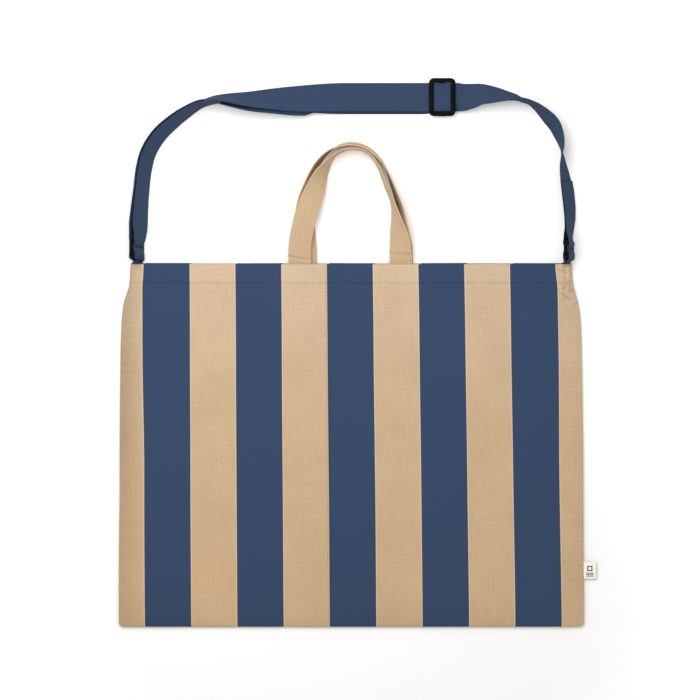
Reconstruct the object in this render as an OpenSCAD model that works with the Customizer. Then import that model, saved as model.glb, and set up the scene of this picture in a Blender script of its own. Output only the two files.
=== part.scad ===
// Large striped canvas carrying sack, lying on its back with its straps laid out above the mouth.
// Millimetres. The origin is the middle of the back face, +Y runs to the mouth and +Z away from the table.

/* [Bag] */
// Width of the bag along its bottom
bag_w = 620; // [590:5:640]
// Height of the bag from bottom to mouth
bag_h = 485; // [460:5:520]
// How far each top corner is drawn in by its tab
shoulder_in = 16; // [10:1:20]
// Height over which a top corner is drawn in
shoulder_drop = 82; // [60:2:100]
// Depth of the turned hem round the mouth
hem_h = 28; // [24:1:34]
// Thickness of one canvas layer
canvas_t = 1; // [0.8:0.1:1.2]
// Free height between the two panels
inside_gap = 8.5; // [8:0.5:10]

/* [Handles] */
// Width of a carrying handle
handle_w = 30; // [26:1:32]
// Thickness of a handle
handle_t = 1.6; // [1.2:0.1:1.8]

/* [Shoulder strap] */
// Width of the strap webbing
strap_w = 38; // [34:1:38]
// Thickness of the webbing
strap_t = 1.4; // [1:0.1:1.4]
// Diameter of a ring's bar
bar_d = 5; // [4:0.5:5]
// Outside length of a ring, along its bars
ring_l = 50; // [48:1:52]
// Distance between a ring's two bars, centre to centre
ring_pitch = 18; // [17:1:19]

/* [Slider] */
// Outside length of the slider along the strap
slider_l = 34; // [30:1:36]
// Width of the slot that the webbing runs through
slot_w = 40.5; // [40:0.5:42]
// Width of the slider's end bars and side rails
slider_bar = 5; // [4:0.5:5.5]
// Place of the slider along the strap
slider_x = 121; // [40:1:125]

/* [Hidden] */

canvas = [0.83, 0.72, 0.57];
print_blue = [0.23, 0.31, 0.44];
webbing_blue = [0.22, 0.30, 0.44];
black = [0.05, 0.05, 0.05];
cream = [0.93, 0.91, 0.85];

top_y = bag_h / 2;
hem_y = top_y - hem_h;
front_in = canvas_t + inside_gap;
front_out = front_in + canvas_t;
lift_w = 255;             // half width of the front panel that lifts; the rest stays at the side seams
seam_w = 4;
corner_r = 5;             // radius of the bottom corners
thread = 0.5;
clear = 0.3;              // gap between pieces that move past each other
side_steps = 24;

// ---- outline of the bag

function ease(u) = let (v = min(max(u, 0), 1)) v * v * (3 - 2 * v);
function half_w(y) = bag_w / 2 - shoulder_in * ease((y - top_y + shoulder_drop) / shoulder_drop);

// The right edge from bottom to top, moved inwards by inset
function right_edge(inset, low, high) = [for (i = [0:side_steps])
    let (y = low + (high - low) * i / side_steps) [half_w(y) - inset, y]];
function flipped(points) = [for (i = [len(points) - 1:-1:0]) [-points[i][0], points[i][1]]];

module outline(inset, low, high) {
    edge = right_edge(inset, low, high);
    polygon(concat(edge, flipped(edge)));
}

module rounded_outline() {
    difference() {
        outline(0, -top_y, top_y);
        for (side = [-1, 1])
            translate([side * (bag_w / 2 - corner_r), -top_y + corner_r])
                difference() {
                    translate([side > 0 ? 0 : -corner_r - 1, -corner_r - 1]) square(corner_r + 1);
                    circle(corner_r, $fn = 48);
                }
    }
}

// A strip along the side edge, from inset a to inset b
module edge_strip(a, b, low, high) {
    outer = right_edge(a, low, high);
    inner = right_edge(b, low, high);
    polygon(concat(outer, [for (i = [len(inner) - 1:-1:0]) inner[i]]));
}

module at(z, height) {
    translate([0, 0, z]) linear_extrude(height) children();
}

module box(low, high) {
    translate(low) cube(high - low);
}

// ---- bag

module back_panel() {
    color(canvas) at(0, canvas_t) rounded_outline();
}

module back_hem() {
    color(canvas) at(canvas_t, canvas_t) outline(seam_w + 0.5, hem_y, top_y);
}

module bottom_seam() {
    reach = bag_w / 2 - corner_r;
    color(canvas) box([-reach, -top_y, canvas_t], [reach, -top_y + seam_w, front_in - 0.3]);
}

module side_seam() {
    color(canvas) at(canvas_t, front_in - canvas_t) edge_strip(0, seam_w, -top_y + seam_w + 0.5, top_y);
}

// The part of the front panel that the side seam holds down, with its stretch of hem
module front_side() {
    color(canvas) union() {
        at(front_in, canvas_t)
            intersection() {
                rounded_outline();
                translate([lift_w + 0.5, -top_y]) square([bag_w, bag_h]);
            }
        at(front_in - canvas_t, canvas_t)
            intersection() {
                outline(seam_w + 0.5, hem_y, top_y);
                translate([lift_w + 0.5, -top_y]) square([bag_w, bag_h]);
            }
    }
}

module front_panel() {
    color(print_blue) box([-lift_w, -top_y, front_in], [lift_w, top_y, front_out]);
}

module front_hem() {
    color(canvas) box([-lift_w, hem_y, front_in - canvas_t], [lift_w, top_y, front_in]);
}

// ---- stitching, as plain rows of thread

module row(from, to, z) {
    along = to - from;
    translate([from[0], from[1], z]) rotate(atan2(along[1], along[0]))
        translate([0, -thread / 2, 0]) cube([norm(along), thread, thread]);
}

// A square of stitching with a cross in it
module box_stitch(centre, w, h, z) {
    x = w / 2;
    y = h / 2;
    translate(centre) union() {
        row([-x, -y], [x, -y], z);
        row([-x, y], [x, y], z);
        row([-x, -y], [-x, y], z);
        row([x, -y], [x, y], z);
        row([-x, -y], [x, y], z);
        row([-x, y], [x, -y], z);
    }
}

stitch_y = hem_y + 2.5;
box_h = hem_h - 8;

module front_hem_stitching() {
    color(canvas) row([-lift_w + 1, stitch_y], [lift_w - 1, stitch_y], front_out);
}

// The back row shows inside the mouth, broken by what is sewn over it
module back_hem_stitching() {
    half = handle_w / 2 + 0.5;
    reach = tail_x - tail_w - 0.5;
    ends = [-reach, back_base[0] - half, back_base[0] + half, back_base[1] - half, back_base[1] + half, reach];
    color(canvas) for (i = [0:2:4])
        row([ends[i], stitch_y], [ends[i + 1], stitch_y], 2 * canvas_t);
}

module handle_stitching(base, z) {
    color(canvas) for (x = base)
        box_stitch([x, (hem_y + top_y) / 2 + 1], handle_w - 7, box_h, z);
}

// ---- swept ribbons: each point is [x, y, z, roll]. Roll 0 lies flat and 90 stands on its inner edge.

function curve(a, b, c, d, u) = 0.5 * (2 * b + (c - a) * u + (2 * a - 5 * b + 4 * c - d) * u * u
    + (3 * b - a - 3 * c + d) * u * u * u);
function smooth(points, n) = let (last = len(points) - 1) concat(
    [for (i = [0:last - 1]) for (k = [0:n - 1])
        curve(points[max(i - 1, 0)], points[i], points[i + 1], points[min(i + 2, last)], k / n)],
    [points[last]]);
function place(p) = [p[0], p[1], p[2]];
function unit(v) = v / norm(v);
function heading(points, i) =
    unit(place(points[min(i + 1, len(points) - 1)]) - place(points[max(i - 1, 0)]));
function outward(t) = unit(cross([0, 0, 1], t));
function across(t, roll) = cos(roll) * outward(t) + sin(roll) * cross(t, outward(t));
function facing(t, roll) = cos(roll) * cross(t, outward(t)) - sin(roll) * outward(t);

// Sections are [centre, direction across, direction it faces]
function sections(points) = [for (i = [0:len(points) - 1])
    let (t = heading(points, i)) [place(points[i]), across(t, points[i][3]), facing(t, points[i][3])]];
function reversed(list) = [for (i = [len(list) - 1:-1:0]) list[i]];

module ribbon(parts, w, t) {
    n = len(parts);
    corners = [for (s = parts) for (c = [[1, 1], [-1, 1], [-1, -1], [1, -1]])
        s[0] + s[1] * c[0] * w / 2 + s[2] * c[1] * t / 2];
    sides = [for (i = [0:n - 2]) for (k = [0:3])
        let (a = 4 * i + k, b = 4 * i + (k + 1) % 4) each [[a, a + 4, b + 4], [a, b + 4, b]]];
    polyhedron(corners, concat(sides, [[0, 1, 2], [0, 2, 3]],
        [[4 * n - 1, 4 * n - 2, 4 * n - 3], [4 * n - 1, 4 * n - 3, 4 * n - 4]]), convexity = 10);
}

// ---- handles: they spring from the mouth at base_y, with their ends sewn under the hems

base_y = top_y + 3;
front_base = [-69, 66];
back_base = [-61, 67];
front_end_z = front_in - canvas_t - handle_t;
back_end_z = 2 * canvas_t;

function front_handle_points() = [
    [front_base[0], base_y, front_end_z + handle_t / 2, 0], [-69, 262, 10, 0], [-66, 284, 15, 0],
    [-58.6, 312, 20, 5], [-49.6, 336, 21, 25], [-41, 358, 18.5, 50], [-34, 370.6, 16.6, 67],
    [-26.2, 382.1, 16.2, 82], [-15, 391, 16.2, 87], [-2, 394.4, 16.3, 89], [10, 394, 16.3, 90],
    [20, 389.6, 16.3, 90], [28, 382.8, 16.2, 89], [35, 373, 16.2, 87], [40.5, 361, 16, 84],
    [46, 344, 16, 80], [55, 324, 16, 71], [60, 308, 15.5, 64], [63, 289, 14.5, 50], [65, 269, 12, 24],
    [front_base[1], base_y, front_end_z + handle_t / 2, 0]];

function back_handle_points() = [
    [back_base[0], base_y, back_end_z + handle_t / 2, 0], [-61, 262, 3.4, 4], [-62.6, 284, 6, 15],
    [-62.6, 307, 9, 32], [-61, 327, 11.6, 46], [-57.5, 344, 14.2, 62], [-51.5, 362, 15.8, 73],
    [-42.5, 378, 16.2, 80], [-30, 391.2, 16.3, 89], [-15.5, 399.2, 16.3, 98], [-1, 401.6, 16.3, 101],
    [14, 399, 16.3, 101], [28.3, 390.4, 16.3, 100], [42.2, 375.4, 16.3, 94], [51.3, 355, 16.4, 85],
    [58.5, 335.6, 16.2, 79], [63.6, 318, 15.8, 74], [66.4, 301, 14.6, 63], [67, 284, 11.6, 44],
    [67, 264, 5.6, 16], [back_base[1], base_y, back_end_z + handle_t / 2, 0]];

module handle(points) {
    color(canvas) ribbon(sections(smooth(points, 3)), handle_w, handle_t);
}

module handle_ends(base, z) {
    color(canvas) for (x = base)
        box([x - handle_w / 2, hem_y, z], [x + handle_w / 2, top_y + 1, z + handle_t]);
}

// ---- rings, tabs and shoulder strap

ring_y = top_y + 18.5;
ring_z = 25;
left_tilt = 76;
right_tilt = 74.5;
left_ring = [-285, ring_y, ring_z];
right_ring = [288.7, ring_y, ring_z];
bend_r = bar_d / 2 + 0.6 + strap_t / 2;     // from a bar's axis to the middle of the webbing round it

module on_ring(centre, tilt) {
    translate(centre) rotate([0, tilt, 0]) children();
}

module ring() {
    end_x = (ring_l - bar_d) / 2;
    end_y = ring_pitch / 2;
    color(black) union() {
        for (s = [-1, 1]) {
            translate([-end_x, s * end_y, 0]) rotate([0, 90, 0]) cylinder(h = 2 * end_x, d = bar_d, $fn = 48);
            translate([s * end_x, -end_y, 0]) rotate([-90, 0, 0]) cylinder(h = 2 * end_y, d = bar_d, $fn = 48);
            for (v = [-1, 1]) translate([s * end_x, v * end_y, 0]) sphere(d = bar_d, $fn = 48);
        }
    }
}

// Webbing bent round a bar, with two straight legs towards -Y
module webbing_loop(leg, r) {
    color(webbing_blue) translate([-strap_w / 2, 0, 0]) rotate([90, 0, 90]) linear_extrude(strap_w)
        difference() {
            union() {
                circle(r + strap_t / 2, $fn = 48);
                translate([-leg, -r - strap_t / 2]) square([leg, 2 * r + strap_t]);
            }
            circle(r - strap_t / 2, $fn = 48);
            translate([-leg - 1, -r + strap_t / 2]) square([leg + 1, 2 * r - strap_t]);
        }
}

tab_leg = 4;
neck_y = ring_y - ring_pitch / 2 - tab_leg;

module tab_loop(centre, tilt) {
    on_ring(centre, tilt) translate([0, -ring_pitch / 2, 0]) webbing_loop(tab_leg, bend_r);
}

tail_w = 18;
tail_x = 290;
tail_low = 2 * canvas_t;
tail_high = front_in - canvas_t;

// The tab's sewn end, folded lengthwise round the inside of the bag's side
module tab_tail() {
    color(webbing_blue) difference() {
        box([tail_x - tail_w, hem_y + 2, tail_low], [tail_x, top_y, tail_high]);
        box([tail_x - tail_w - 1, hem_y, tail_low + strap_t], [tail_x - strap_t, top_y + 1, tail_high - strap_t]);
    }
}

// The few millimetres of the tab that bend when the strap swings
module tab_neck(side, centre, tilt) {
    middle = side * (tail_x - tail_w / 2);
    color(webbing_blue) hull() {
        box([middle - tail_w / 2, top_y + 0.2, tail_low], [middle + tail_w / 2, top_y + 0.4, tail_high]);
        on_ring([centre[0], neck_y - 0.4, centre[2]], tilt)
            box([-strap_w / 2, 0, -bend_r], [strap_w / 2, 0.2, bend_r]);
    }
}

module tab_stitching() {
    color(webbing_blue) for (side = [-1, 1])
        box_stitch([side * (tail_x - tail_w / 2 - 1), (hem_y + top_y) / 2], tail_w - 8, box_h, front_out);
}

run_y = top_y + 221.5;       // middle of the straight run that the slider rides on
run_z = 7.6;
run_start = -14;
run_end = 146;
under_z = 0.9;               // middle of the lower layer beneath the slider
take_up_start = -62;
take_up_end = 72;

// The outer layer in three stretches: from the left ring up to the flat run, the run, and down to the
// right ring. The last three values set the lower layer off from it: along the way it faces, inwards,
// and by how much less it is rolled.
under_gap = run_z - under_z;
left_stretch = [
    [left_ring[0] - bend_r * sin(left_tilt), ring_y + ring_pitch / 2, ring_z - bend_r * cos(left_tilt),
        left_tilt, 2 * bend_r, 0, 0],
    [-289, 278, 22.8, 75, 8.4, 0, 4], [-287, 293, 20.6, 67.5, 7, 0, 4], [-283.6, 316, 19, 65, 4.4, 0, 0],
    [-281, 340, 18.8, 67, 3.6, 0, 0], [-277.6, 368, 18.8, 67, 3.6, 0, 0], [-271, 392, 18.8, 68, 3.6, 0, 0],
    [-256.5, 414.5, 18.9, 69, 3.6, 0, 0], [-237, 433.5, 19.4, 75, 3.7, 0.3, 3],
    [-219, 447.6, 19.8, 83, 3.9, 0.5, 7], [-202, 457.8, 20.2, 92, 4.2, 0.9, 10],
    [-185, 461.8, 20.4, 102, 4.4, 2.2, 12], [-166, 462, 20, 112, 4.2, 3.4, 9], [-135, 460.4, 18.6, 127, 4, 3.4, 4],
    [-104, 460.8, 16, 143, 4, 2.6, 0], [-72, 461.4, 12.6, 159, 4.8, 3.2, 0],
    [-42, 463, 9.4, 171, 5.8, 3, 0], [run_start, run_y, run_z, 180, under_gap, 3, 0]];
flat_run = [for (x = [run_start + 40, run_start + 80, run_start + 120, run_end - 4])
    [x, run_y, run_z, 180, under_gap, 3, 0]];
right_stretch = [
    [run_end, run_y, run_z, 178, 0, 0, 0],
    [158, 465.2, 9.2, 158, 0, 0, 0], [172, 467.6, 12.4, 143, 0, 0, 0], [188, 467.4, 15.8, 126, 0, 0, 0],
    [204, 466.2, 18.4, 112, 0, 0, 0], [220, 463.8, 19.8, 101, 0, 0, 0], [233.5, 459.2, 20, 89, 0, 0, 0],
    [244.5, 452.6, 19.6, 78, 0, 0, 0], [254, 443.4, 19.2, 73, 0, 0, 0], [263.5, 434, 18.8, 70, 0, 0, 0],
    [271.2, 424, 18.8, 71, 0, 0, 0], [277.4, 409, 19, 78, 0, 0, 0], [280.6, 396, 19.4, 88, 0, 0, 0],
    [281.4, 384, 19.4, 100, 0, 0, 0], [282, 372, 19.2, 108, 0, 0, 0], [283.8, 360, 19, 113.5, 0, 0, 0],
    [286.2, 344, 18.8, 117, 0, 0, 0], [288.4, 326, 18.8, 117, 0, 0, 0], [289.6, 308, 19.4, 115, 0, 0, 0],
    [288.6, 291, 21.4, 111, 0, 0, 0], [286.2, 279, 23.2, 107, 0, 0, 0],
    [right_ring[0] - bend_r * sin(right_tilt), ring_y + ring_pitch / 2, ring_z - bend_r * cos(right_tilt),
        180 - right_tilt, 0, 0, 0]];

// The same sections facing the other way
function turned(parts) = [for (s = parts) [s[0], s[1], -s[2]]];

// The lower layer: the outer one's points moved along the way they face and inwards
function lower_layer(points) = [for (i = [0:len(points) - 1])
    let (p = points[i], t = heading(points, i))
        [place(p) + p[4] * facing(t, p[3]) - p[5] * outward(t), across(t, p[3] - p[6]), facing(t, p[3] - p[6])]];

// Directions along a ring's bars and square to the ring
function bar_way(tilt) = [cos(tilt), 0, -sin(tilt)];
function ring_way(tilt) = [sin(tilt), 0, cos(tilt)];

// Webbing bent half round a bar, from one side of it, past the side nearer the bag, to the other
function bend(bar, wide, from, sign) = [for (a = [0:15:180])
    let (n = cos(a) * from - sin(a) * [0, 1, 0]) [bar + bend_r * n, wide, sign * n]];
function without_ends(list) = [for (i = [1:len(list) - 2]) list[i]];

outer_points = concat(smooth(left_stretch, 2), flat_run, smooth(right_stretch, 2));
outer = sections(outer_points);
under = [for (s = lower_layer(outer_points)) if (s[0][0] < take_up_start) s];
under_inner = [for (i = [len(under) - 1:-1:1]) under[i]];
left_bar = left_ring + [0, ring_pitch / 2, 0];
right_bar = right_ring + [0, ring_pitch / 2, 0];
// The folded-back end lies along the outer layer and is sewn to it. Each value is a distance off that layer.
end_off = [4.6, 1.8, 1.8];
end_back = [for (k = [0:2]) let (s = outer[len(outer) - 3 - 2 * k]) [s[0] - end_off[k] * s[2], s[1], s[2]]];

module shoulder_strap() {
    color(webbing_blue) ribbon(concat(
        under_inner,
        bend(left_bar, -bar_way(left_tilt), ring_way(left_tilt), 1),
        turned(without_ends(outer)),
        bend(right_bar, -bar_way(right_tilt), -ring_way(right_tilt), 1),
        end_back), strap_w, strap_t);
}

module strap_take_up() {
    shift = 3;
    color(webbing_blue) box([take_up_start + 2, run_y - shift - strap_w / 2, under_z - strap_t / 2],
        [take_up_end - clear, run_y - shift + strap_w / 2, under_z + strap_t / 2]);
}

module strap_end_stitching() {
    s = outer[len(outer) - 6];
    n = -s[2];
    w = s[1];
    l = cross(n, w);
    top = s[0] + (1.9 + strap_t / 2) * n;
    color(webbing_blue)
        multmatrix([[w[0], l[0], n[0], top[0]], [w[1], l[1], n[1], top[1]], [w[2], l[2], n[2], top[2]], [0, 0, 0, 1]])
        box([-14, 0, 0], [14, 0.6, thread]);
}

// ---- slider and the end of the webbing sewn round its middle bar

grip_d = 3;
grip_z = 3.4;
loop_r = grip_z - under_z;
frame_low = run_z + strap_t / 2 + clear;
frame_high = frame_low + 3;
frame_r = 5;
slider_w = slot_w + 2 * slider_bar;

module rounded_rectangle(l, w, r) {
    union() {
        square([l - 2 * r, w], center = true);
        square([l, w - 2 * r], center = true);
        for (x = [-1, 1]) for (y = [-1, 1])
            translate([x * (l / 2 - r), y * (w / 2 - r)]) circle(r, $fn = 48);
    }
}

module slider_frame() {
    color(black) translate([slider_x, run_y, 0]) union() {
        at(frame_low, frame_high - frame_low) difference() {
            rounded_rectangle(slider_l, slider_w, frame_r);
            rounded_rectangle(slider_l - 2 * slider_bar, slot_w, 1.5);
        }
        for (s = [-1, 1]) translate([0, s * (slot_w + slider_bar) / 2, 0])
            box([-7, -slider_bar / 2, grip_z - grip_d / 2], [7, slider_bar / 2, frame_low]);
        translate([0, -slider_w / 2 + 1, grip_z]) rotate([-90, 0, 0])
            cylinder(h = slider_w - 2, d = grip_d, $fn = 48);
    }
}

sewn_back = slider_x - 46;

module slider_webbing_loop() {
    top = grip_z + loop_r - strap_t / 2;
    color(webbing_blue) translate([slider_x, run_y, grip_z]) rotate([90, 0, 0])
        translate([0, 0, -strap_w / 2]) linear_extrude(strap_w) difference() {
            union() {
                circle(loop_r + strap_t / 2, $fn = 48);
                translate([take_up_end - slider_x, -loop_r - strap_t / 2]) square([slider_x - take_up_end, strap_t]);
                translate([sewn_back - slider_x, loop_r - strap_t / 2]) square([slider_x - sewn_back, strap_t]);
            }
            circle(loop_r - strap_t / 2, $fn = 48);
            translate([-8, -loop_r + strap_t / 2]) square([8, 2 * loop_r - strap_t]);
        }
}

module slider_loop_stitching() {
    low = under_z + strap_t / 2;
    color(webbing_blue) for (x = [sewn_back + 4, sewn_back + 20])
        box([x, run_y - 14, low], [x + thread, run_y + 14, low + 2 * loop_r - strap_t]);
}

// ---- label

label_low = [bag_w / 2 + 1, -179, 3];
label_size = [16, 23, 0.8];

module side_label() {
    color(cream) box(label_low + [clear, 0, 0], label_low + label_size);
}

// The edge of the label that is caught in the side seam
module side_label_root() {
    color(cream) box([bag_w / 2, label_low[1], label_low[2]], label_low + [-0.6, label_size[1], label_size[2]]);
}

back_panel();
back_hem();
bottom_seam();
mirror([1, 0, 0]) side_seam();  // side_seam_left
side_seam();  // side_seam_right
mirror([1, 0, 0]) front_side();  // front_side_left
front_side();  // front_side_right
handle_ends(back_base, back_end_z);  // back_handle_ends
mirror([1, 0, 0]) tab_tail();  // tab_left_tail
tab_tail();  // tab_right_tail
back_hem_stitching();
handle_stitching(back_base, back_end_z + handle_t);  // back_handle_stitching
tab_stitching();
front_panel();
front_hem();
handle_ends(front_base, front_end_z);  // front_handle_ends
front_hem_stitching();
handle_stitching(front_base, front_out);  // front_handle_stitching
handle(front_handle_points());  // front_handle
handle(back_handle_points());  // back_handle
shoulder_strap();
tab_loop(left_ring, left_tilt);  // tab_left_loop
tab_loop(right_ring, right_tilt);  // tab_right_loop
tab_neck(-1, left_ring, left_tilt);  // tab_left_neck
tab_neck(1, right_ring, right_tilt);  // tab_right_neck
strap_end_stitching();
strap_take_up();
on_ring(left_ring, left_tilt) ring();  // ring_left
on_ring(right_ring, right_tilt) ring();  // ring_right
slider_frame();
slider_webbing_loop();
slider_loop_stitching();
side_label();
side_label_root();
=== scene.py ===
"""Looks of the striped canvas carrying sack. Metres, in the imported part's frame: +Y to the mouth, +Z up."""

from math import ceil, copysign, cos, exp, pi, radians, sin, sqrt

import bpy
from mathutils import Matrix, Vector, noise


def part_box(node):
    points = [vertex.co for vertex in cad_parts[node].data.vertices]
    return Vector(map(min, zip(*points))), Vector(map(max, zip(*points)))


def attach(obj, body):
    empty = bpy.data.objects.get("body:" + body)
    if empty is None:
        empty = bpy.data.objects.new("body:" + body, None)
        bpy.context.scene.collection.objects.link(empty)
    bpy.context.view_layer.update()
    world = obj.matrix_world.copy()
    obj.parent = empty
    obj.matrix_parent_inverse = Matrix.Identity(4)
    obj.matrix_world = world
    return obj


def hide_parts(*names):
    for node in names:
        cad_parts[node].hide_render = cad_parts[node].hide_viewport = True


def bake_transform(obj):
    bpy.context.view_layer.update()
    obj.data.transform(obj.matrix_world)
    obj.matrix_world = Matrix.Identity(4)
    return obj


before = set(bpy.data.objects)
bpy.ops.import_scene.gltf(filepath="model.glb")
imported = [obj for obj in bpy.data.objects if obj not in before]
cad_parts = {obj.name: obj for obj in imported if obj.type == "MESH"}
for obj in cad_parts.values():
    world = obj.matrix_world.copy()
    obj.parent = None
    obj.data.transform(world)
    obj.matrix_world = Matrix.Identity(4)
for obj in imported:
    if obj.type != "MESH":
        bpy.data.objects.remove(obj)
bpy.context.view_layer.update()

MM = 0.001
UP = Vector((0, 0, 1))
TO_MOUTH = Vector((0, 1, 0))

# ---- sizes, from the part

panel_low, panel_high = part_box("back_panel")
HALF_W = panel_high[0]
BOTTOM, TOP = panel_low[1], panel_high[1]
HEM_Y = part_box("back_hem")[0][1]
HEM_H = TOP - HEM_Y
CORNER_R = 5 * MM
CLOTH = 1.0 * MM
SEAM_W = 10.5 * MM
STITCH_Y = HEM_Y + 2.5 * MM
HANDLE_W = 30 * MM
HANDLE_T = 1.6 * MM
STRAP_W = 38 * MM
STRAP_T = 1.4 * MM
FRONT_BASE = (-69 * MM, 66 * MM)
BACK_BASE = (-61 * MM, 67 * MM)
RING_BAR = 5 * MM
RING_L = 50 * MM
RING_PITCH = 18 * MM
RINGS = {
    "left": {"side": -1, "centre": Vector((-0.285, TOP + 0.0185, 0.025)), "tilt": radians(76),
             "strap_slack": 2.4 * MM, "tab_slack": 7.2 * MM, "mouth_x": 291.9 * MM, "mouth_arm": 11.3 * MM},
    "right": {"side": 1, "centre": Vector((0.2887, TOP + 0.0185, 0.025)), "tilt": radians(74.5),
              "strap_slack": 4.8 * MM, "tab_slack": 4.6 * MM, "mouth_x": 288.6 * MM, "mouth_arm": 4.6 * MM},
}
BEND_R = RING_BAR / 2 + 0.6 * MM + STRAP_T / 2
STRIPES = 5
STRIPE_PITCH = 122.85 * MM
STRIPE_W = 61.5 * MM


# ---- camera and light

VIEW_W = 933.3 * MM
CAMERA_Z = 3.5
VIEW_CENTRE = (-1.9 * MM, 126.8 * MM)
SENSOR = 36.0


def make_camera():
    data = bpy.data.cameras.new("camera")
    data.sensor_width = SENSOR
    data.lens = SENSOR * (CAMERA_Z - 0.010) / VIEW_W
    data.clip_end = 20
    camera = bpy.data.objects.new("camera", data)
    camera.location = (VIEW_CENTRE[0], VIEW_CENTRE[1], CAMERA_Z)
    bpy.context.scene.collection.objects.link(camera)
    bpy.context.scene.camera = camera


def area_light(name, place, target, size, power):
    data = bpy.data.lights.new(name, "AREA")
    data.shape = "DISK"
    data.size = size
    data.energy = power
    light = bpy.data.objects.new(name, data)
    light.location = place
    light.rotation_euler = (Vector(target) - Vector(place)).to_track_quat("-Z", "Y").to_euler()
    bpy.context.scene.collection.objects.link(light)


def make_studio():
    area_light("key", (-0.25, 0.62, 1.2), (-0.25, 0.62, 0), 1.1, 13.8)
    world = bpy.data.worlds.new("studio")
    world.use_nodes = True
    back = world.node_tree.nodes["Background"]
    back.inputs["Color"].default_value = (1.0, 1.0, 1.0, 1)
    back.inputs["Strength"].default_value = 0.85
    bpy.context.scene.world = world
    bpy.context.scene.view_settings.view_transform = "Standard"


# ---- material nodes


class Tree:
    """A short way to build a material's nodes."""

    def __init__(self, name, roughness, specular):
        self.material = bpy.data.materials.new(name)
        self.material.use_nodes = True
        self.nodes = self.material.node_tree.nodes
        self.links = self.material.node_tree.links
        self.shader = self.nodes["Principled BSDF"]
        self.shader.inputs["Roughness"].default_value = roughness
        self.shader.inputs["Specular IOR Level"].default_value = specular

    def put(self, socket, value):
        if isinstance(value, bpy.types.NodeSocket):
            self.links.new(value, socket)
        else:
            socket.default_value = value

    def node(self, kind, inputs, **settings):
        """A new node with its settings and its inputs, which are given by number or name."""
        made = self.nodes.new("ShaderNode" + kind)
        for setting, value in settings.items():
            setattr(made, setting, value)
        for socket, value in inputs.items():
            self.put(made.inputs[socket], value)
        return made

    def math(self, operation, *values):
        return self.node("Math", dict(enumerate(values)), operation=operation).outputs[0]

    def times(self, a, b):
        return self.math("MULTIPLY", a, b)

    def ramp(self, value, low, high, out_low=0.0, out_high=1.0):
        """A smooth step from one value to another."""
        inputs = dict(enumerate((value, low, high, out_low, out_high)))
        return self.node("MapRange", inputs, interpolation_type="SMOOTHSTEP").outputs[0]

    def mix(self, share, a, b):
        return self.node("Mix", {0: share, 6: a, 7: b}, data_type="RGBA").outputs[2]

    def scaled(self, colour, amount):
        return self.node("VectorMath", {0: colour, "Scale": amount}, operation="SCALE").outputs[0]

    def product(self, colour, other):
        return self.node("VectorMath", {0: colour, 1: other}, operation="MULTIPLY").outputs[0]

    def distance(self, a, b):
        return self.node("VectorMath", {0: a, 1: b}, operation="DISTANCE").outputs["Value"]

    def combine(self, x, y):
        return self.node("CombineXYZ", {0: x, 1: y}).outputs[0]

    def uv(self):
        where = self.node("UVMap", {}, uv_map="cloth").outputs[0]
        split = self.node("SeparateXYZ", {0: where})
        return split.outputs[0], split.outputs[1]

    def place(self):
        return self.node("TexCoord", {}).outputs["Object"]

    def noise(self, where, scale, detail=2.0):
        return self.node("TexNoise", {"Vector": where, "Scale": scale, "Detail": detail}).outputs["Fac"]

    def spots(self, where, scale, radius, share):
        """1 in scattered round spots, in about a share of the cells."""
        cells = self.node("TexVoronoi", {"Vector": where, "Scale": scale})
        split = self.node("SeparateColor", {0: cells.outputs["Color"]})
        near = self.ramp(cells.outputs["Distance"], radius, radius * 0.4)
        return self.times(near, self.math("LESS_THAN", split.outputs[0], share))

    def bump(self, height, distance, strength=1.0):
        bumps = self.node("Bump", {"Strength": strength, "Distance": distance, "Height": height})
        self.links.new(bumps.outputs[0], self.shader.inputs["Normal"])

    def colour(self, value):
        self.put(self.shader.inputs["Base Color"], value)
        return self.material


SAND = (0.480, 0.342, 0.218, 1)
PALE = (0.66, 0.55, 0.42, 1)
NAVY = (0.0298, 0.0515, 0.1015, 1)
STRAP_NAVY = (0.0280, 0.0470, 0.0915, 1)
BLACK = (0.0020, 0.0020, 0.0023, 1)
SCUFFED_BLACK = (0.0045, 0.0045, 0.005, 1)
CREAM = (0.80, 0.76, 0.66)
BROWN = (0.045, 0.032, 0.025, 1)
WHITE = (1, 1, 1, 1)
CANVAS_PITCH = 0.72 * MM
WEAVE_FULL = 0.75           # weave height from which a thread has its full tone


def plain_weave(tree, u, v, pitch):
    """Height, from 0 to 1, of threads that pass over and under each other."""
    cell_u = tree.math("DIVIDE", u, pitch)
    cell_v = tree.math("DIVIDE", v, pitch)
    profile_u = tree.math("SINE", tree.times(tree.math("FRACT", cell_u), pi))
    profile_v = tree.math("SINE", tree.times(tree.math("FRACT", cell_v), pi))
    count = tree.math("ADD", tree.math("FLOOR", cell_u), tree.math("FLOOR", cell_v))
    over = tree.math("PINGPONG", count, 1.0)
    warp = tree.times(profile_u, tree.math("MULTIPLY_ADD", profile_v, 0.45, 0.55))
    weft = tree.times(profile_v, tree.math("MULTIPLY_ADD", profile_u, 0.45, 0.55))
    return tree.math("ADD", tree.times(warp, over), tree.times(weft, tree.math("SUBTRACT", 1.0, over)))


def thread_tone(tree, u, v, pitch, amount):
    """A factor near 1 that changes from thread to thread, both ways, and slowly over the cloth."""
    along = tree.noise(tree.combine(tree.math("DIVIDE", u, pitch), tree.times(v, 45.0)), 0.55)
    cross = tree.noise(tree.combine(tree.times(u, 45.0), tree.math("DIVIDE", v, pitch)), 0.55)
    slow = tree.noise(tree.combine(u, v), 14.0, 3.0)
    total = tree.math("ADD", tree.math("ADD", along, cross), slow)
    return tree.math("MULTIPLY_ADD", total, amount, 1.0 - 1.5 * amount)


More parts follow.
